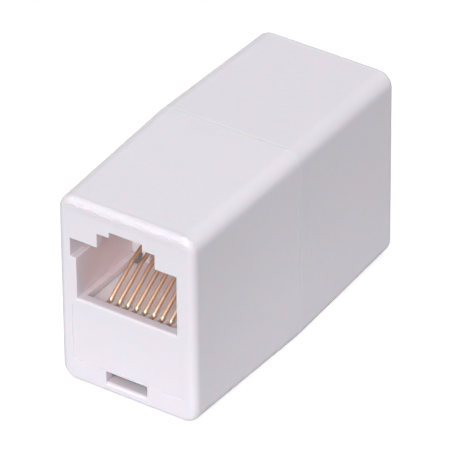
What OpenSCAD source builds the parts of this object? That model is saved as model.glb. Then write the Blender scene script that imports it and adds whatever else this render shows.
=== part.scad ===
// Inline coupler for eight-way modular plugs, with a keyed port at each end.
// Two identical half shells meet at mid-length. Each holds a contact insert with eight
// spring wires, and a board under the inserts joins the two sets of wires.
// The ports open along -Y and +Y, and the origin is under the middle, at the lowest edge.

/* [Housing] */
// Length over the two end faces
body_l = 36.4; // [36:0.1:40]
// Width at the middle seam
body_w = 16.9; // [16.8:0.1:20]
// Height at the middle seam
body_h = 22.8; // [22.8:0.1:26]
// How far each side draws in from the seam to an end face
taper = 0.4; // [0.2:0.05:0.45]
// Radius of the four long edges
edge_r = 1.7; // [1:0.1:2.2]
// Radius of the rim round each end face
rim_r = 0.8; // [0.3:0.05:0.9]
// Thickness of the end walls
end_wall = 1.1; // [1:0.05:1.3]
// Thickness of the side, top and bottom walls at the end faces
wall = 1.35; // [1.2:0.05:1.4]
// Bevel on the outer edge of the seam
seam_bevel = 0.04; // [0.02:0.02:0.16]
// Length of the tongue that laps the seam inside
lap_l = 1.5; // [1:0.1:2]
// Thickness of the tongue that laps the seam inside
lap_t = 0.7; // [0.5:0.05:0.9]

/* [Port] */
// Width of the plug opening
port_w = 11.9; // [11.7:0.05:12]
// Height of the plug opening
port_h = 6.95; // [6.8:0.05:7.1]
// Height of the port floor above the lowest edge
port_z = 10.7; // [10.3:0.05:10.9]
// Depth of the plug cavity behind the end face
port_depth = 9.6; // [9.2:0.1:10]
// Width of the wide step of the latch notch
latch_w = 6.8; // [6.4:0.05:7]
// Height of the wide step above the roof of the port
latch_h = 1.65; // [1.4:0.05:1.8]
// Width of the narrow step of the latch notch
catch_w = 3.9; // [3.5:0.05:4.1]
// Height of the narrow step above the wide one
catch_h = 0.7; // [0.5:0.05:0.8]
// Room added round the latch notch behind the end wall
pocket_room = 0.3; // [0.1:0.05:0.4]
// Depth of the key groove in the side wall
key_d = 0.7; // [0.5:0.05:0.7]
// Height of the key groove, measured down from the roof of the port
key_h = 2.2; // [1.8:0.05:2.4]
// Radius of both edges of the sill in front of the port floor
sill_r = 0.15; // [0.1:0.05:0.5]
// Width of the ledge at each side of the port floor
ledge_w = 0.54; // [0.44:0.02:0.64]
// Thickness of the ledges and of the sill
ledge_t = 1.25; // [1.2:0.05:1.4]

/* [End panel] */
// Width of the recessed panel
panel_w = 13.2; // [12:0.1:13.4]
// Height of the recessed panel
panel_h = 6.5; // [5:0.1:6.6]
// Distance from the port floor down to the panel
panel_drop = 1; // [0.9:0.05:1.1]
// Depth of the panel's recess
panel_recess = 0.1; // [0.05:0.05:0.3]
// Width of the slot under the panel
slot_w = 4.9; // [4:0.1:6]
// Height of the slot under the panel
slot_h = 1.35; // [1.1:0.05:1.4]
// How far the slot sits to the left of the middle
slot_left = 0.2; // [0:0.05:0.5]
// Radius of the lower edge of the slot
slot_r = 0.35; // [0.1:0.05:0.45]

/* [Contacts] */
// Diameter of the contact wire
wire_d = 0.46; // [0.4:0.01:0.5]
// Distance between neighbouring contacts
pitch = 1.02; // [1:0.01:1.06]
// Radius of the bends, to the middle of the wire
bend_r = 0.5; // [0.4:0.05:0.6]
// Distance of the first bend behind the end face
nose_y = 2.4; // [2.2:0.05:2.6]
// Distance of the first bend below the port floor
nose_drop = 0.7; // [0.6:0.05:0.75]
// Angle at which the springs rise from the first bend
rise_angle = 32; // [28:0.5:34]
// Distance of the bend that eases the springs behind the end face
ease_y = 6.3; // [5.5:0.1:7]
// Angle at which the springs rise behind that bend
ease_angle = 22; // [18:0.5:25]
// Length of the spring end held in the comb
comb_grip = 0.7; // [0.4:0.05:0.8]
// How far the outer row of contact tails is set in behind the first bend
row_in = 1.25; // [1.25:0.05:1.6]
// Distance between the two rows of contact tails
row_gap = 2.54; // [2.2:0.02:3]
// Height of the step that sets a tail in, above the board
step_up = 1.4; // [1.1:0.05:1.8]

/* [Insert] */
// How far the deck between the ledges lies below the port floor
deck_drop = 0.75; // [0.6:0.05:0.8]
// Room left in the deck in front of each first bend
nose_room = 0.2; // [0.05:0.05:0.3]
// Thickness of the wall behind the plug cavity
comb_t = 1.8; // [1.6:0.1:2.4]
// Room above the spring tips in the comb
comb_room = 0.3; // [0.1:0.05:0.8]
// Width of the relief at each foot of the comb
relief_w = 0.6; // [0.3:0.05:0.8]
// Height of the relief at each foot of the comb
relief_h = 1.05; // [0.5:0.05:1.5]
// How far the reliefs run into the deck in front of the comb
relief_l = 0.6; // [0.2:0.05:1]
// Thickness of the walls round the hollow under the insert
insert_wall = 1.3; // [1:0.1:1.6]
// Length of the ribs behind the comb
rib_l = 4; // [3:0.1:5]
// Height of the ribs behind the comb
rib_h = 7; // [5:0.1:9]

/* [Board] */
// Thickness of the board
board_t = 1.6; // [1.2:0.1:1.7]
// Height of the board's rails above the floor of the housing
rail_h = 2.1; // [1.9:0.05:2.2]
// Width of the board's rails
rail_w = 1.1; // [0.8:0.05:1.4]
// Gap between the board and the walls round it
board_gap = 0.3; // [0.2:0.05:0.5]
// Length of the contact tails below the board
tail_l = 0.8; // [0.7:0.05:1]
// Diameter of the solder fillets on the board
solder_d = 1.1; // [0.9:0.05:1.2]
// Height of the solder fillets
solder_h = 0.55; // [0.4:0.05:0.6]

/* [Fits] */
// Gap between pieces that slide together
fit = 0.05; // [0.03:0.01:0.08]
// Gap round a contact wire in its slot
wire_play = 0.07; // [0.05:0.01:0.1]
// Gap round a contact tail in its hole in the board
hole_play = 0.12; // [0.08:0.01:0.15]

/* [Hidden] */
CONTACTS = 8;

SHELL_COLOUR = "#EEEAF0";
INSERT_COLOUR = "#E4DCD2";
BOARD_COLOUR = "#3C7A50";
SOLDER_COLOUR = "#C4C6CA";
GOLD_COLOUR = "#D9A45A";

CORNER_STEPS = 12;  // flats round each long edge
RIM_STEPS = 8;      // flats across each rim
ROUND = 48;         // fragments of round surfaces
CUT = 1;            // how far a cut runs past the face that it opens

half_l = body_l / 2;
port_roof = port_z + port_h;
chamber_x = body_w / 2 - taper - wall;
floor_z = taper + wall;
ceiling_z = body_h - taper - wall;
ledge_bottom = port_z - ledge_t;
panel_top = port_z - panel_drop;

rail_top = floor_z + rail_h;
board_bottom = rail_top + fit;
board_top = board_bottom + board_t;
board_x = chamber_x - board_gap;
board_y = half_l - end_wall - board_gap;

insert_x = chamber_x - fit;
insert_bottom = board_top + fit;
insert_top = ledge_bottom - fit;
deck_x = port_w / 2 - ledge_w - fit;
deck_z = port_z - deck_drop;
comb_y = port_depth + fit;

nose_z = port_z - nose_drop;
slot_x = wire_d + 2 * wire_play;
wire_reach = wire_d / 2 + wire_play;
// Room that the inner corner of a slot leaves where a wire bends round it
bend_reach = bend_r - (bend_r - wire_reach) / sqrt(2);
step_z = board_top + step_up;
ease_z = nose_z + (ease_y - nose_y) * tan(rise_angle);
tip_y = comb_y + comb_grip;
tip_z = ease_z + (tip_y - ease_y) * tan(ease_angle);
// Where the spring wires are wholly above the deck
deck_exit = nose_y + (deck_z - nose_z + wire_reach / cos(rise_angle)) / tan(rise_angle);

function contact_x(i) = (i - (CONTACTS + 1) / 2) * pitch;
function tail_y(i) = nose_y + row_in + (i % 2 == 1 ? 0 : row_gap);

// A block from one corner to the opposite one
module block(low, high) {
    translate(low) cube(high - low);
}

// A block that is as wide to the left as to the right
module centred_block(half_x, low_y, high_y, low_z, high_z) {
    block([-half_x, low_y, low_z], [half_x, high_y, high_z]);
}

// Puts a piece that is drawn with the end face at y = 0 in its place at the front
module at_front() {
    translate([0, -half_l, 0]) children();
}

// Turns a piece of the front end into the one of the rear end
module at_rear() {
    rotate([0, 0, 180]) children();
}

// ---- Housing ----

// One corner of the section, as points round a quarter circle
function corner(centre, r, start) =
    [for (i = [0:CORNER_STEPS])
        let (a = start + 90 * i / CORNER_STEPS)
        [centre[0] + r * cos(a), centre[1] + r * sin(a)]];

// The housing's outline where its sides are drawn in by inset
function section(inset, r) =
    let (x = body_w / 2 - inset - r, low = inset + r, high = body_h - inset - r)
    concat(corner([x, high], r, 0), corner([-x, high], r, 90),
           corner([-x, low], r, 180), corner([x, low], r, 270));

// Distance from the seam, inset and edge radius along one half, with the rim last
function drawn_in(s) = taper * s / half_l;
function stations() =
    let (rim_s = half_l - rim_r)
    concat([[0, seam_bevel, edge_r], [seam_bevel, drawn_in(seam_bevel), edge_r]],
           [for (i = [0:RIM_STEPS])
               let (a = 90 * i / RIM_STEPS, cut = rim_r * (1 - cos(a)))
               [rim_s + rim_r * sin(a), drawn_in(rim_s) + cut, edge_r - cut]]);

// Outer form of the front half, lofted through its stations
module outer_half() {
    rings = [for (s = stations()) [for (p = section(s[1], s[2])) [p[0], -s[0], p[1]]]];
    n = len(rings[0]);
    last = len(rings) - 1;
    polyhedron(
        points = [for (ring = rings) each ring],
        faces = concat(
            [[for (j = [0:n - 1]) j]],
            [[for (j = [n - 1:-1:0]) last * n + j]],
            [for (k = [0:last - 1], j = [0:n - 1])
                let (next = (j + 1) % n)
                [k * n + j, (k + 1) * n + j, (k + 1) * n + next, k * n + next]]
        )
    );
}

// The room inside a half, grown outwards by extra, between two depths
module chamber(extra, from, to) {
    centred_block(chamber_x + extra, from, to, floor_z - extra, ceiling_z + extra);
}

// The opening that the plug's body passes through, with the key groove at its left
module plug_channel(from, to) {
    centred_block(port_w / 2, from, to, port_z, port_roof);
    block([-port_w / 2 - key_d, from, port_roof - key_h], [0, to, port_roof]);
}

// The notch of the plug's latch in the end wall, and its wider pocket behind the wall
module latch_notch() {
    step_top = port_roof + latch_h;
    catch_top = step_top + catch_h;
    centred_block(latch_w / 2, -CUT, end_wall + CUT, port_z + port_h / 2, step_top);
    centred_block(catch_w / 2, -CUT, end_wall + CUT, port_z + port_h / 2, catch_top);
    centred_block(latch_w / 2 + pocket_room, end_wall, port_depth + CUT,
                  port_z + port_h / 2, catch_top + pocket_room);
}

// What is cut away to round a level edge along X, with its body behind and below
module edge_round(half_x, r) {
    difference() {
        centred_block(half_x, -CUT, r, -r, CUT);
        translate([0, r, -r]) rotate([0, 90, 0])
            cylinder(h = body_w, r = r, center = true, $fn = ROUND);
    }
}

// Rounds both edges of the sill, in front across the opening and behind between the ledges
module sill_rounds() {
    translate([0, 0, port_z]) edge_round(port_w / 2, sill_r);
    translate([0, end_wall, port_z]) mirror([0, 1, 0]) edge_round(deck_x + fit, sill_r);
}

// The slot under the panel, with its lower edge rounded
module low_slot() {
    translate([-slot_left, 0, 0]) {
        centred_block(slot_w / 2, -CUT, end_wall + CUT, floor_z, floor_z + slot_h);
        translate([0, 0, floor_z]) edge_round(slot_w / 2, slot_r);
    }
}

// Half of the ring that laps the seam: the left half is the tongue, the right the socket
module lap_ring(side, thickness, from, to) {
    intersection() {
        chamber(thickness, from, to);
        block([side < 0 ? -body_w : 0, from, 0], [side < 0 ? -fit : body_w, to, body_h]);
    }
}

module board_rails() {
    for (side = [-1, 1])
        translate([side * (chamber_x - rail_w / 2), 0, 0])
            centred_block(rail_w / 2 + fit, end_wall - fit, half_l - 2 * lap_l, floor_z - fit, rail_top);
}

module half_shell() {
    at_front() {
        difference() {
            union() {
                difference() {
                    translate([0, half_l, 0]) outer_half();
                    centred_block(chamber_x, end_wall, half_l + CUT, floor_z, ledge_bottom);
                    chamber(0, port_depth, half_l + CUT);
                    centred_block(deck_x + fit, end_wall, port_depth + CUT,
                                  ledge_bottom - CUT, port_z + CUT);
                    lap_ring(1, lap_t + fit, half_l - lap_l - fit, half_l + CUT);
                }
                difference() {
                    lap_ring(-1, lap_t, half_l - lap_l, half_l + lap_l);
                    chamber(0, 0, body_l);
                }
                board_rails();
            }
            plug_channel(-CUT, port_depth + CUT);
            latch_notch();
            sill_rounds();
            centred_block(panel_w / 2, -CUT, panel_recess, panel_top - panel_h, panel_top);
            low_slot();
        }
    }
}

module front_shell() {
    color(SHELL_COLOUR) half_shell();
}

module rear_shell() {
    color(SHELL_COLOUR) at_rear() half_shell();
}

// ---- Contact inserts ----

// The slots of one contact: its riser, its hole in the deck, its step and its comb slot
module contact_slots(i) {
    hole_y = nose_y - wire_reach - nose_room;
    translate([contact_x(i), 0, 0]) {
        centred_block(slot_x / 2, end_wall, nose_y + bend_reach, insert_bottom - CUT, insert_top);
        centred_block(slot_x / 2, hole_y, nose_y + bend_reach, insert_top - CUT, port_z);
        centred_block(slot_x / 2, hole_y, deck_exit, nose_z - wire_reach, port_z);
        centred_block(slot_x / 2, end_wall, tail_y(i) + wire_reach,
                      insert_bottom - CUT, step_z + bend_reach);
        centred_block(slot_x / 2, port_depth, tip_y + wire_reach,
                      deck_z, tip_z + wire_reach + comb_room);
    }
}

// The reliefs beside the outer contacts, through the comb's foot and the deck before it
module foot_reliefs() {
    for (side = [-1, 1])
        translate([side * (deck_x - relief_w / 2), 0, 0])
            centred_block(relief_w / 2 + fit, comb_y - relief_l, comb_y + comb_t + CUT,
                          insert_top, deck_z + relief_h);
}

module ribs() {
    back = comb_y + comb_t;
    for (side = [-1, 1])
        translate([side * (insert_x - insert_wall / 2) - insert_wall / 2, 0, 0])
            rotate([90, 0, 90])
                linear_extrude(insert_wall)
                    polygon([[back - fit, insert_top - fit], [back + rib_l, insert_top - fit],
                             [back - fit, insert_top + rib_h]]);
}

module insert() {
    at_front() {
        difference() {
            union() {
                centred_block(insert_x, end_wall + fit, half_l - fit, insert_bottom, insert_top);
                centred_block(deck_x, end_wall + fit, comb_y + fit, insert_top - fit, deck_z);
                centred_block(insert_x, comb_y, comb_y + comb_t, insert_top - fit, ceiling_z - fit);
                ribs();
            }
            for (i = [1:CONTACTS]) contact_slots(i);
            foot_reliefs();
            centred_block(insert_x - insert_wall, nose_y + row_in + row_gap + wire_reach + insert_wall,
                          half_l - insert_wall, insert_bottom - CUT, insert_top - insert_wall);
        }
    }
}

module front_insert() {
    color(INSERT_COLOUR) insert();
}

module rear_insert() {
    color(INSERT_COLOUR) at_rear() insert();
}

// ---- Contacts ----

function heading(a, b) = atan2(b[1] - a[1], b[0] - a[0]);
// Turn from one heading to the next, between -180 and 180 degrees
function turn(a, b) = (b - a + 540) % 360 - 180;

// Rest of a wire from leg k on, drawn along +X from where that leg starts
module wire_from(k, legs, turns, d, r) {
    rotate([0, 90, 0]) cylinder(h = legs[k], d = d, $fn = ROUND);
    if (k < len(turns)) {
        t = turns[k];
        centre = [0, t > 0 ? r : -r, 0];
        translate([legs[k], 0, 0]) {
            translate(centre) rotate([0, 0, t > 0 ? -90 : 90 + t])
                rotate_extrude(angle = abs(t), $fn = ROUND)
                    translate([r, 0]) circle(d = d, $fn = ROUND);
            translate(centre) rotate([0, 0, t]) translate(-centre)
                wire_from(k + 1, legs, turns, d, r);
        }
    }
}

// A wire through the points of a flat route, with every inner corner rounded to r
module bent_wire(route, d, r) {
    last = len(route) - 1;
    angles = [for (k = [0:last - 1]) heading(route[k], route[k + 1])];
    turns = [for (k = [1:last - 1]) turn(angles[k - 1], angles[k])];
    trims = concat([0], [for (t = turns) r * tan(abs(t) / 2)], [0]);
    legs = [for (k = [0:last - 1]) norm(route[k + 1] - route[k]) - trims[k] - trims[k + 1]];
    translate(route[0]) rotate([0, 0, angles[0]]) wire_from(0, legs, turns, d, r);
}

// The route of a contact, from its tail under the board to its tip in the comb
function contact_route(i) =
    [[tail_y(i), board_bottom - tail_l], [tail_y(i), step_z], [nose_y, step_z],
     [nose_y, nose_z], [ease_y, ease_z], [tip_y, tip_z]];

module contact(i) {
    at_front()
        translate([contact_x(i), 0, 0]) rotate([90, 0, 90])
            bent_wire(contact_route(i), wire_d, bend_r);
}

module front_contact(i) {
    color(GOLD_COLOUR) contact(i);
}

module rear_contact(i) {
    color(GOLD_COLOUR) at_rear() contact(i);
}

// ---- Board ----

// Puts a copy of a piece at every contact tail of both ends
module at_tails() {
    for (end = [0, 180], i = [1:CONTACTS])
        rotate([0, 0, end]) at_front() translate([contact_x(i), tail_y(i), 0]) children();
}

module link_board() {
    color(BOARD_COLOUR)
        difference() {
            block([-board_x, -board_y, board_bottom], [board_x, board_y, board_top]);
            at_tails()
                translate([0, 0, board_bottom - CUT])
                    cylinder(h = board_t + 2 * CUT, d = wire_d + 2 * hole_play, $fn = ROUND);
        }
}

module solder_joints() {
    color(SOLDER_COLOUR)
        at_tails()
            translate([0, 0, board_bottom - solder_h])
                rotate_extrude($fn = ROUND)
                    polygon([[wire_d / 2, 0], [wire_d / 2 + wire_play, 0],
                             [solder_d / 2, solder_h], [wire_d / 2, solder_h]]);
}

front_shell();
rear_shell();
front_insert();
rear_insert();
link_board();
solder_joints();
for (i = [1:CONTACTS]) {
    front_contact(i);
    rear_contact(i);
}
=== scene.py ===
"""Inline coupler: the looks of its pieces and the stage it stands on.

Laid out as an add-on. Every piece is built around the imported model, which is loaded as a
fixed frame, and each operator finishes one piece or one group of like pieces.
"""
import math

import bmesh
import bpy
from bpy.props import FloatProperty, FloatVectorProperty, PointerProperty
from mathutils import Matrix, Vector


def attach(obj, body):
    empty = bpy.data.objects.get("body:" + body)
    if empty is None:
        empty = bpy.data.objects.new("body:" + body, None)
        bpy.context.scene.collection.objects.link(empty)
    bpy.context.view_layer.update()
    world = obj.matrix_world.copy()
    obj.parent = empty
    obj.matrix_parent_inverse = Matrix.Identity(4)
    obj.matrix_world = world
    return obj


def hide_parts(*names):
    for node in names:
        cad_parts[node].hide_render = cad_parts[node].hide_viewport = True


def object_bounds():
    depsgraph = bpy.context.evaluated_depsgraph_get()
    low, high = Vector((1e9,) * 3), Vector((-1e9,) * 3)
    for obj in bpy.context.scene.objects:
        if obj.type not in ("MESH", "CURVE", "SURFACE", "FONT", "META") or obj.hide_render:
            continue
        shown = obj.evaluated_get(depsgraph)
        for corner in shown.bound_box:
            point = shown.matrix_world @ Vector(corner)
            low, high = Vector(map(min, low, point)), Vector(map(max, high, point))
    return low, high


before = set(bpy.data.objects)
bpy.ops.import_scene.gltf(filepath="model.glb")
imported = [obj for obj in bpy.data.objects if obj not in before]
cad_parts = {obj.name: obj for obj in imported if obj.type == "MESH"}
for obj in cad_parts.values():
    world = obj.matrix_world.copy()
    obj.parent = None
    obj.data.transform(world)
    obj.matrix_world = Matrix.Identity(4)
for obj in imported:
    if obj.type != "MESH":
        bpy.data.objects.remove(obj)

bl_info = {
    "name": "Inline coupler",
    "version": (1, 0, 0),
    "blender": (4, 5, 0),
    "location": "View3D > Sidebar > Coupler",
    "description": "Finishes the pieces of an inline coupler and sets its stage",
    "category": "Object",
}

MM = 0.001
CAD_BOX = [list(corner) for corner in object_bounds()]
BODY = "root"
CONTACTS = 8
ENDS = ("front", "rear")
SHARP = math.radians(35)  # edges turned by more than this are sharp

# The frame's loose triangles are joined: corners this close, and faces this nearly flat
MERGE_DISTANCE = 0.0005 * MM
MERGE_ANGLE = math.radians(0.3)

# The edges that are rounded lie in the ports: those of a shell above its sill, and those of
# an insert from the deck up
MOUTH_DEPTH = 8 * MM
MOUTH_BOTTOM = 10.72 * MM
DECK_DEPTH = 9.5 * MM
DECK_BOTTOM = 9 * MM

# Moulded plastic: how it bends light, and the shares of its light depth that red, green and
# blue travel in it
PLASTIC_IOR = 1.5
PLASTIC_SCATTER = (1.0, 0.7, 0.65)

# Its inner walls lie within these faces, and the painted shade with its warm cast of bounced light
# is fullest on them from this depth inwards
SKIN_X = 7.3 * MM
SKIN_TOP = 21 * MM
SKIN_BOTTOM = 0.9 * MM
DEEP = 2.2 * MM

# The outline of a port, and the roughness of what lies within it
OPENING_X = 6.05 * MM
OPENING_BOTTOM = 10.4 * MM
OPENING_TOP = 17.75 * MM
MATT = 0.55

# Painted light about the seam, making up the light that the plastic loses in the gap, and how far
# it reaches
SEAM_PAINTED_LIGHT = (0.98, 0.90, 0.96)
SEAM_REACH = 0.35 * MM

# How far the rough line of the rim reaches from the end face and from the top
RIM_DEPTH = 0.9 * MM
RIM_DROP = 1.9 * MM

# Its clouds, waves and mould flash: the size of their lumps and how much each counts
CLOUD_SIZE = 6 * MM
CLOUD_SHARE = 0.06
CLOUD_GREY = (0.5, 0.5, 0.5)
WAVE_SIZE = 0.7 * MM
WAVE_SHARE = 0.3
FLASH_SIZE = 0.25 * MM
FLASH_STRETCH = 0.4
FLASH_SHARE = 6
SKIN_RELIEF = 0.05 * MM

# Gold plating: patches of tarnish, from dull to bright, and the grain of the drawn wire
TARNISH_SIZE = 0.9 * MM
TARNISH_LEVELS = (0.88, 1.05)
TARNISH_ROUGHNESS = 0.1
DRAWN_SIZE = 0.05 * MM
DRAWN_RELIEF = 0.001 * MM

# Link board: a normal that rises more than this belongs to a face and not to a cut edge; the
# weave under the mask, and how rough faces and cut edges are
FACE_RISE = 0.5
WEAVE_SIZE = 0.5 * MM
WEAVE_LEVELS = (0.92, 1.08)
WEAVE_RELIEF = 0.002 * MM
FACE_ROUGHNESS = 0.4
CUT_ROUGHNESS = 0.75

# Solder: its grain, and its least roughness, which the grain at most doubles
SOLDER_SIZE = 0.15 * MM
SOLDER_ROUGHNESS = 0.2
SOLDER_RELIEF = 0.003 * MM

# The floor ends just in front of the coupler, so that the key strip reaches below it
FLOOR_SIZE = 120 * MM
FLOOR_SHIFT = 85 * MM
FLOOR_TONE = (0.7, 0.7, 0.7)
FLOOR_LIFT = 0.6  # light of its own, which only the camera sees
WHITE = (1.0, 1.0, 1.0)


# ---- Sizes and colours ----


class ShellSettings(bpy.types.PropertyGroup):
    """The moulded half shells"""

    colour: FloatVectorProperty(
        name="Plastic", description="Colour of the shell's plastic",
        subtype="COLOR", size=3, min=0, max=1, default=(0.845, 0.81, 0.875))
    # The inner colour is painted shade with a warm cast of bounced light inside the ports
    inner_painted_shade: FloatVectorProperty(
        name="Inner painted shade", description="Warmer colour the plastic takes on inside the ports",
        subtype="COLOR", size=3, min=0, max=1, default=(0.83, 0.72, 0.755))
    edge: FloatProperty(
        name="Edge radius", description="Rounding of the moulded edges",
        unit="LENGTH", min=0, default=0.07 * MM, precision=5)
    roughness: FloatProperty(
        name="Roughness", description="Roughness of the moulded surface",
        subtype="FACTOR", min=0, max=1, default=0.14)
    depth: FloatProperty(
        name="Light depth", description="How far light travels inside the plastic",
        unit="LENGTH", min=0, default=0.4 * MM, precision=5)


class InsertSettings(bpy.types.PropertyGroup):
    """The contact inserts"""

    colour: FloatVectorProperty(
        name="Plastic", description="Colour of the insert's plastic",
        subtype="COLOR", size=3, min=0, max=1, default=(0.92, 0.83, 0.845))
    edge: FloatProperty(
        name="Edge radius", description="Rounding of the moulded edges",
        unit="LENGTH", min=0, default=0.03 * MM, precision=5)
    roughness: FloatProperty(
        name="Roughness", description="Roughness of the moulded surface",
        subtype="FACTOR", min=0, max=1, default=0.5)
    depth: FloatProperty(
        name="Light depth", description="How far light travels inside the plastic",
        unit="LENGTH", min=0, default=0.8 * MM, precision=5)


class ContactSettings(bpy.types.PropertyGroup):
    """The spring wires"""

    colour: FloatVectorProperty(
        name="Plating", description="Colour of the gold plating",
        subtype="COLOR", size=3, min=0, max=1, default=(0.92, 0.67, 0.48))
    roughness: FloatProperty(
        name="Roughness", description="Roughness of the drawn wire",
        subtype="FACTOR", min=0, max=1, default=0.42)


class BoardSettings(bpy.types.PropertyGroup):
    """The link board and its solder"""

    mask: FloatVectorProperty(
        name="Solder mask", description="Colour of the board's faces",
        subtype="COLOR", size=3, min=0, max=1, default=(0.02, 0.13, 0.05))
    core: FloatVectorProperty(
        name="Core", description="Colour of the board's cut edges",
        subtype="COLOR", size=3, min=0, max=1, default=(0.42, 0.38, 0.2))
    solder: FloatVectorProperty(
        name="Solder", description="Colour of the solder fillets",
        subtype="COLOR", size=3, min=0, max=1, default=(0.72, 0.73, 0.75))


class StageSettings(bpy.types.PropertyGroup):
    """Camera, lamps and floor"""

    azimuth: FloatProperty(
        name="Azimuth", description="How far the camera stands round to the right",
        subtype="ANGLE", default=math.radians(33.901))
    elevation: FloatProperty(
        name="Elevation", description="How far the camera looks down",
        subtype="ANGLE", default=math.radians(34.353))
    roll: FloatProperty(
        name="Roll", description="Turn of the camera about its own line of sight",
        subtype="ANGLE", default=math.radians(-0.576))
    distance: FloatProperty(
        name="Distance", description="From the camera to the point it looks at",
        unit="LENGTH", default=546.4 * MM, precision=4)
    aim: FloatVectorProperty(
        name="Aim", description="The point looked at, from the middle of the coupler",
        subtype="TRANSLATION", unit="LENGTH", size=3,
        default=(-0.389 * MM, 0, -0.486 * MM), precision=5)
    lens: FloatProperty(
        name="Lens", description="Focal length", unit="CAMERA", default=433.6)
    key_light: FloatProperty(
        name="Key", description="Brightness of the tall strip low in front", min=0, default=9.9)
    camera_light: FloatProperty(
        name="Camera", description="Brightness of the lamp behind the camera", min=0, default=16.0)
    front_light: FloatProperty(
        name="Front", description="Brightness of the low softbox in front", min=0, default=5.55)
    slant_light: FloatProperty(
        name="Slant", description="Brightness of the softbox above the front", min=0, default=1.44)
    top_light: FloatProperty(
        name="Top", description="Brightness of the softbox overhead", min=0, default=4.4)
    side_light: FloatProperty(
        name="Side", description="Brightness of the softbox at the right", min=0, default=1.25)
    ambient: FloatProperty(
        name="Ambient", description="Brightness of the surroundings", min=0, default=0.0)


# ---- Shader nodes ----


class Signal:
    """An output of a shader node. Sums with it add Math nodes."""

    def __init__(self, recipe, socket):
        self.recipe = recipe
        self.socket = socket

    def math(self, operation, first, second=0.0):
        return self.recipe.node("ShaderNodeMath", {"operation": operation}, {0: first, 1: second})

    def __add__(self, other):
        return self.math("ADD", self, other)

    def __sub__(self, other):
        return self.math("SUBTRACT", self, other)

    def __rsub__(self, other):
        return self.math("SUBTRACT", other, self)

    def __mul__(self, other):
        return self.math("MULTIPLY", self, other)

    def __gt__(self, other):
        return self.math("GREATER_THAN", self, other)

    def __lt__(self, other):
        return self.math("LESS_THAN", self, other)

    def __abs__(self):
        return self.math("ABSOLUTE", self)

    def smaller(self, other):
        return self.math("MINIMUM", self, other)

    def larger(self, other):
        return self.math("MAXIMUM", self, other)

    __radd__ = __add__
    __rmul__ = __mul__


class Recipe:
    """A material or world being written as nodes."""

    def __init__(self, owner):
        owner.use_nodes = True
        self.owner = owner
        self.tree = owner.node_tree
        self.tree.nodes.clear()

    def node(self, kind, settings, inputs, output=0):
        """Adds a node with its settings and inputs, and gives back one of its outputs."""
        made = self.tree.nodes.new(kind)
        for name, value in settings.items():
            setattr(made, name, value)
        for name, value in inputs.items():
            socket = made.inputs[name]
            if isinstance(value, Signal):
                self.tree.links.new(value.socket, socket)
            else:
                socket.default_value = value
        return Signal(self, made.outputs[output]) if len(made.outputs) else made

    def place(self):
        """Where a point lies on the piece."""
        return self.node("ShaderNodeTexCoord", {}, {}, "Object")

    def along(self, place, axis):
        """How far along one axis a place lies."""
        return self.node("ShaderNodeSeparateXYZ", {}, {"Vector": place}, axis)

    def stretched(self, place, share):
        """A place whose pattern is drawn out along X."""
        return self.node("ShaderNodeMapping", {}, {"Vector": place, "Scale": (share, 1, 1)})

    def noise(self, place, size, detail):
        """Soft noise whose lumps are about one size across."""
        inputs = {"Vector": place, "Scale": 1 / size, "Detail": detail}
        return self.node("ShaderNodeTexNoise", {}, inputs)

    def blend(self, factor, low, high):
        """A colour between two others, which are colours or signals."""
        inputs = {0: factor, 6: low, 7: high}  # by number, because a Mix node's names repeat
        return self.node("ShaderNodeMix", {"data_type": "RGBA"}, inputs, 2)

    def bump(self, height, depth):
        """The normal of a surface that rises by depth where height is one."""
        inputs = {"Strength": 1.0, "Distance": depth, "Height": height}
        return self.node("ShaderNodeBump", {}, inputs)

    def ray(self, kind):
        """One for light seen along a kind of ray, and nought for the rest."""
        return self.node("ShaderNodeLightPath", {}, {}, kind)

    def surface(self, shader, output="ShaderNodeOutputMaterial"):
        """Joins a shader to the output, and gives back the material or world."""
        self.node(output, {}, {"Surface": shader})
        return self.owner


def rgba(colour, level=1.0):
    """A colour, brightened by level, with its alpha."""
    return tuple(channel * level for channel in colour) + (1.0,)


# ---- Materials ----


def inner_shade_mask(recipe, place):
    """Where the painted shade lies: nought on the outer skin, and on the inner walls one but for a
    fade at the end faces.
    """
    across = abs(recipe.along(place, "X"))
    height = recipe.along(place, "Z")
    depth = CAD_BOX[1][1] - abs(recipe.along(place, "Y"))
    walls = (across < SKIN_X) * (height < SKIN_TOP) * (height > SKIN_BOTTOM)
    return walls * (depth * (1 / DEEP)).smaller(1.0)


def in_opening(recipe, place):
    """One within the outline of a port, whose surfaces are matt, and nought elsewhere."""
    height = recipe.along(place, "Z")
    across = abs(recipe.along(place, "X")) < OPENING_X
    return across * (height > OPENING_BOTTOM) * (height < OPENING_TOP)


def seam_light_mask(recipe, place):
    """One at the seam, fading out on both sides, where painted light makes up the light that the
    plastic loses in the gap.
    """
    away = abs(recipe.along(place, "Y")) * (1 / SEAM_REACH)
    return (1 - away).larger(0.0)


def near_rim(recipe, place):
    """One on the upper rim of each end face, where the mould left a rough line."""
    depth = CAD_BOX[1][1] - abs(recipe.along(place, "Y"))
    drop = CAD_BOX[1][2] - recipe.along(place, "Z")
    return (1 - depth * (1 / RIM_DEPTH)).larger(0.0) * (1 - drop * (1 / RIM_DROP)).larger(0.0)


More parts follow.
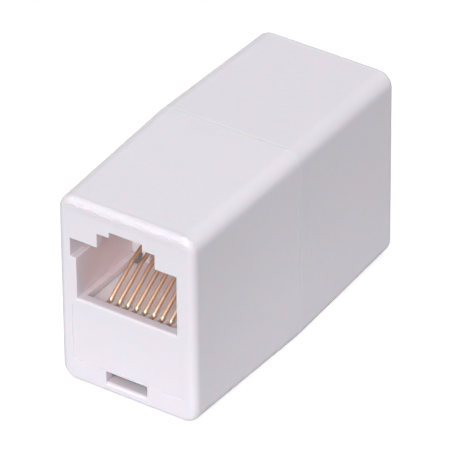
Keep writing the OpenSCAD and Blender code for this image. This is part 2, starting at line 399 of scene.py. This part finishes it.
def moulded_plastic(name, colour, inner_painted_shade, roughness, depth):
    """Moulded plastic that light enters: faint cloudiness, an uneven gloss and a wavy skin, with
    painted shade inside the ports and painted light about the seam.
    """
    recipe = Recipe(bpy.data.materials.new(name))
    place = recipe.place()
    cloud = recipe.noise(place, CLOUD_SIZE, detail=3)
    waves = recipe.noise(place, WAVE_SIZE, detail=1)
    flash = recipe.noise(recipe.stretched(place, FLASH_STRETCH), FLASH_SIZE, detail=2)
    # Painted shade with a warm cast of bounced light inside the ports, then painted light about
    # the seam
    tone_with_painted_light = recipe.blend(inner_shade_mask(recipe, place), rgba(colour), rgba(inner_painted_shade))
    tone_with_painted_light = recipe.blend(seam_light_mask(recipe, place), tone_with_painted_light, rgba(SEAM_PAINTED_LIGHT))
    matt = in_opening(recipe, place) * (MATT - roughness)
    relief = waves * WAVE_SHARE + flash * near_rim(recipe, place) * FLASH_SHARE
    shader = recipe.node("ShaderNodeBsdfPrincipled", {}, {
        "Base Color": recipe.blend(cloud * CLOUD_SHARE, tone_with_painted_light, rgba(CLOUD_GREY)),
        "Roughness": cloud * CLOUD_SHARE + matt + (roughness - CLOUD_SHARE / 2),
        "Normal": recipe.bump(relief, SKIN_RELIEF),
        "IOR": PLASTIC_IOR, "Subsurface Weight": 1.0, "Subsurface Radius": PLASTIC_SCATTER,
        "Subsurface Scale": depth})
    return recipe.surface(shader)


def plated_wire(name, colour, roughness):
    """Gold plating over drawn wire: a fine grain and patches of slight tarnish."""
    recipe = Recipe(bpy.data.materials.new(name))
    place = recipe.place()
    tarnish = recipe.noise(place, TARNISH_SIZE, detail=3)
    grain = recipe.noise(place, DRAWN_SIZE, detail=2)
    dull, bright = (rgba(colour, level) for level in TARNISH_LEVELS)
    shader = recipe.node("ShaderNodeBsdfPrincipled", {}, {
        "Base Color": recipe.blend(tarnish, dull, bright), "Metallic": 1.0,
        "Roughness": tarnish * TARNISH_ROUGHNESS + (roughness - TARNISH_ROUGHNESS / 2),
        "Normal": recipe.bump(grain, DRAWN_RELIEF)})
    return recipe.surface(shader)


def coated_board(name, mask, core):
    """Glass-fibre board: green mask over the weave on its faces, bare core on its edges."""
    recipe = Recipe(bpy.data.materials.new(name))
    place = recipe.place()
    inputs = {"Vector": place, "Scale": 1 / WEAVE_SIZE}
    weave = recipe.node("ShaderNodeTexChecker", {}, inputs, "Fac")
    facing = recipe.node("ShaderNodeNewGeometry", {}, {}, "Normal")
    flat = abs(recipe.along(facing, "Z")) > FACE_RISE
    dark, light = (rgba(mask, level) for level in WEAVE_LEVELS)
    shader = recipe.node("ShaderNodeBsdfPrincipled", {}, {
        "Base Color": recipe.blend(flat, rgba(core), recipe.blend(weave, dark, light)),
        "Roughness": flat * (FACE_ROUGHNESS - CUT_ROUGHNESS) + CUT_ROUGHNESS,
        "Normal": recipe.bump(weave, WEAVE_RELIEF)})
    return recipe.surface(shader)


def bright_solder(name, colour):
    """Solder that froze smooth, with a faint grain."""
    recipe = Recipe(bpy.data.materials.new(name))
    grain = recipe.noise(recipe.place(), SOLDER_SIZE, detail=3)
    shader = recipe.node("ShaderNodeBsdfPrincipled", {}, {
        "Base Color": rgba(colour), "Metallic": 1.0,
        "Roughness": grain * SOLDER_ROUGHNESS + SOLDER_ROUGHNESS,
        "Normal": recipe.bump(grain, SOLDER_RELIEF)})
    return recipe.surface(shader)


def seen_as_white(recipe, shader):
    """A shader that the camera, mirrors and glass see as plain white light."""
    seen = recipe.ray("Is Camera Ray")
    for kind in ("Is Glossy Ray", "Is Transmission Ray"):
        seen = seen.larger(recipe.ray(kind))
    white = recipe.node("ShaderNodeBackground", {}, {"Color": rgba(WHITE), "Strength": 1.0})
    return recipe.node("ShaderNodeMixShader", {}, {0: seen, 1: shader, 2: white})


def studio_floor(name):
    """A white sweep that keeps the coupler's shadow."""
    recipe = Recipe(bpy.data.materials.new(name))
    paper = recipe.node("ShaderNodeBsdfDiffuse", {}, {"Color": rgba(FLOOR_TONE)})
    inputs = {"Color": rgba(WHITE), "Strength": recipe.ray("Is Camera Ray") * FLOOR_LIFT}
    lift = recipe.node("ShaderNodeEmission", {}, inputs)
    return recipe.surface(recipe.node("ShaderNodeAddShader", {}, {0: paper, 1: lift}))


# ---- Pieces ----


def merged_copy(node, name):
    """A copy of a node of the frame with its loose triangles joined into whole faces."""
    mesh = bpy.data.meshes.new(name)
    bm = bmesh.new()
    bm.from_mesh(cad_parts[node].data)
    bmesh.ops.remove_doubles(bm, verts=bm.verts, dist=MERGE_DISTANCE)
    bmesh.ops.dissolve_limit(
        bm, angle_limit=MERGE_ANGLE, verts=bm.verts, edges=bm.edges, delimit=set())
    bm.to_mesh(mesh)
    bm.free()
    piece = bpy.data.objects.new(name, mesh)
    bpy.context.scene.collection.objects.link(piece)
    return piece


def soften(piece, edge, chosen, segments):
    """Rounds the chosen sharp edges of a moulded piece and keeps the others sharp."""
    bm = bmesh.new()
    bm.from_mesh(piece.data)
    weight = bm.edges.layers.float.new("bevel_weight_edge")
    for line in bm.edges:
        if len(line.link_faces) == 2 and line.calc_face_angle() > SHARP:
            line.smooth = chosen((line.verts[0].co + line.verts[1].co) / 2)
            line[weight] = float(line.smooth)
    for face in bm.faces:
        face.smooth = True
    bm.to_mesh(piece.data)
    bm.free()
    bevel = piece.modifiers.new("Moulded edges", "BEVEL")
    bevel.width = edge
    bevel.segments = segments
    bevel.limit_method = "WEIGHT"
    bevel.use_clamp_overlap = False
    even = piece.modifiers.new("Even shading", "WEIGHTED_NORMAL")
    even.keep_sharp = True


def mouth_edge(place):
    """Whether an edge of a shell lies at the mouth of a port."""
    return CAD_BOX[1][1] - abs(place.y) < MOUTH_DEPTH and place.z > MOUTH_BOTTOM


def deck_edge(place):
    """Whether an edge of an insert shows through a port."""
    return CAD_BOX[1][1] - abs(place.y) < DECK_DEPTH and place.z > DECK_BOTTOM


def shade_smooth(piece):
    """Shades a piece smoothly and keeps its sharp edges."""
    for polygon in piece.data.polygons:
        polygon.use_smooth = True
    piece.data.set_sharp_from_angle(angle=SHARP)


def finish_piece(piece, node, material):
    """Hands a finished piece over to the frame in the place of a node."""
    piece.data.materials.clear()
    piece.data.materials.append(material)
    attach(piece, BODY)
    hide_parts(node)


class COUPLER_OT_shells(bpy.types.Operator):
    """Make the two moulded half shells"""

    bl_idname = "coupler.shells"
    bl_label = "Half shells"

    def execute(self, context):
        settings = context.scene.coupler_shell
        plastic = moulded_plastic(
            "Moulded plastic", settings.colour, settings.inner_painted_shade, settings.roughness, settings.depth)
        for end in ENDS:
            shell = merged_copy(f"{end}_shell", f"{end}_moulded_shell")
            soften(shell, settings.edge, mouth_edge, segments=3)
            finish_piece(shell, f"{end}_shell", plastic)
        return {"FINISHED"}


class COUPLER_OT_inserts(bpy.types.Operator):
    """Make the two contact inserts"""

    bl_idname = "coupler.inserts"
    bl_label = "Contact inserts"

    def execute(self, context):
        settings = context.scene.coupler_insert
        plastic = moulded_plastic(
            "Insert plastic", settings.colour, settings.colour, settings.roughness,
            settings.depth)
        for end in ENDS:
            insert = merged_copy(f"{end}_insert", f"{end}_moulded_insert")
            soften(insert, settings.edge, deck_edge, segments=2)
            finish_piece(insert, f"{end}_insert", plastic)
        return {"FINISHED"}


class COUPLER_OT_contacts(bpy.types.Operator):
    """Make the spring wires of both ports"""

    bl_idname = "coupler.contacts"
    bl_label = "Spring wires"

    def execute(self, context):
        settings = context.scene.coupler_contact
        gold = plated_wire("Gold plating", settings.colour, settings.roughness)
        for end in ENDS:
            for number in range(1, CONTACTS + 1):
                node = f"{end}_contact_{number}"
                wire = merged_copy(node, f"{end}_wire_{number}")
                shade_smooth(wire)
                finish_piece(wire, node, gold)
        return {"FINISHED"}


class COUPLER_OT_board(bpy.types.Operator):
    """Make the link board and its solder fillets"""

    bl_idname = "coupler.board"
    bl_label = "Link board"

    def execute(self, context):
        settings = context.scene.coupler_board
        board = merged_copy("link_board", "coated_board")
        shade_smooth(board)
        coating = coated_board("Board", settings.mask, settings.core)
        finish_piece(board, "link_board", coating)
        solder = merged_copy("solder_joints", "solder_fillets")
        shade_smooth(solder)
        finish_piece(solder, "solder_joints", bright_solder("Solder", settings.solder))
        return {"FINISHED"}


# ---- Stage ----


def lamp(name, place, target, width, height, radiance):
    """A softbox that faces a point, as bright as a panel of that radiance."""
    data = bpy.data.lights.new(name, "AREA")
    data.shape = "RECTANGLE"
    data.size = width
    data.size_y = height
    data.energy = radiance * math.pi * width * height
    holder = bpy.data.objects.new(name, data)
    bpy.context.scene.collection.objects.link(holder)
    holder.location = place
    holder.rotation_euler = (target - place).to_track_quat("-Z", "Y").to_euler()


def from_angles(azimuth, elevation):
    """The direction of a point round to the right of the front and above it."""
    return Vector((
        math.sin(azimuth) * math.cos(elevation),
        -math.cos(azimuth) * math.cos(elevation),
        math.sin(elevation)))


class COUPLER_OT_stage(bpy.types.Operator):
    """Set the floor, the lamps, the surroundings and the camera"""

    bl_idname = "coupler.stage"
    bl_label = "Stage"

    def execute(self, context):
        settings = context.scene.coupler_stage
        low, high = (Vector(corner) for corner in CAD_BOX)
        middle = (low + high) / 2
        self.floor(low.z)
        self.lamps(settings, middle)
        self.surroundings(settings)
        self.camera(settings, middle)
        context.scene.view_settings.view_transform = "Standard"
        return {"FINISHED"}

    def floor(self, level):
        mesh = bpy.data.meshes.new("floor")
        bm = bmesh.new()
        bmesh.ops.create_grid(bm, x_segments=1, y_segments=1, size=FLOOR_SIZE)
        bmesh.ops.translate(bm, verts=bm.verts, vec=(FLOOR_SHIFT, FLOOR_SHIFT, level))
        bm.to_mesh(mesh)
        bm.free()
        floor = bpy.data.objects.new("floor", mesh)
        floor.data.materials.append(studio_floor("Paper sweep"))
        bpy.context.scene.collection.objects.link(floor)

    def lamps(self, settings, middle):
        # Angles in degrees, then lengths in metres
        for name, azimuth, elevation, distance, width, height, radiance in (
                ("Key strip", -27.6, -2, 0.5, 0.03, 0.5, settings.key_light),
                ("Camera lamp", 33.9, 34.4, 1.5, 0.4, 0.4, settings.camera_light),
                ("Front softbox", 8, 18, 1.5, 0.8, 0.6, settings.front_light),
                ("Slant softbox", 5, 45, 1.5, 1.0, 1.0, settings.slant_light),
                ("Top softbox", 180, 82, 0.6, 0.3, 0.3, settings.top_light),
                ("Side softbox", 115, 45, 0.8, 0.5, 0.5, settings.side_light)):
            place = middle + from_angles(math.radians(azimuth), math.radians(elevation)) * distance
            lamp(name, place, middle, width, height, radiance)

    def surroundings(self, settings):
        world = bpy.data.worlds.new("Studio")
        bpy.context.scene.world = world
        recipe = Recipe(world)
        inputs = {"Color": rgba(WHITE), "Strength": settings.ambient}
        room = recipe.node("ShaderNodeBackground", {}, inputs)
        recipe.surface(seen_as_white(recipe, room), "ShaderNodeOutputWorld")

    def camera(self, settings, middle):
        data = bpy.data.cameras.new("Camera")
        data.lens = settings.lens
        data.clip_start = 10 * MM
        back = from_angles(settings.azimuth, settings.elevation)
        right = Vector((math.cos(settings.azimuth), math.sin(settings.azimuth), 0))
        turn = Matrix((right, back.cross(right), back)).transposed()
        turn = turn @ Matrix.Rotation(settings.roll, 3, "Z")
        camera = bpy.data.objects.new("Camera", data)
        camera.matrix_world = Matrix.Translation(
            middle + Vector(settings.aim) + back * settings.distance) @ turn.to_4x4()
        bpy.context.scene.collection.objects.link(camera)
        bpy.context.scene.camera = camera


class COUPLER_PT_panel(bpy.types.Panel):
    """Lists the coupler's pieces and its stage"""

    bl_idname = "COUPLER_PT_panel"
    bl_label = "Inline coupler"
    bl_space_type = "VIEW_3D"
    bl_region_type = "UI"
    bl_category = "Coupler"

    def draw(self, context):
        for operator in OPERATORS:
            self.layout.operator(operator.bl_idname)


OPERATORS = (
    COUPLER_OT_shells, COUPLER_OT_inserts, COUPLER_OT_contacts, COUPLER_OT_board,
    COUPLER_OT_stage)
SETTINGS = {
    "coupler_shell": ShellSettings,
    "coupler_insert": InsertSettings,
    "coupler_contact": ContactSettings,
    "coupler_board": BoardSettings,
    "coupler_stage": StageSettings,
}


def register():
    for kind in (*SETTINGS.values(), *OPERATORS, COUPLER_PT_panel):
        bpy.utils.register_class(kind)
    for name, kind in SETTINGS.items():
        setattr(bpy.types.Scene, name, PointerProperty(type=kind))


def unregister():
    for name in SETTINGS:
        delattr(bpy.types.Scene, name)
    for kind in (COUPLER_PT_panel, *reversed(OPERATORS), *SETTINGS.values()):
        bpy.utils.unregister_class(kind)


def main():
    register()
    bpy.ops.coupler.shells()
    bpy.ops.coupler.inserts()
    bpy.ops.coupler.contacts()
    bpy.ops.coupler.board()
    bpy.ops.coupler.stage()
    bpy.context.view_layer.update()


if __name__ == "__main__":
    main()
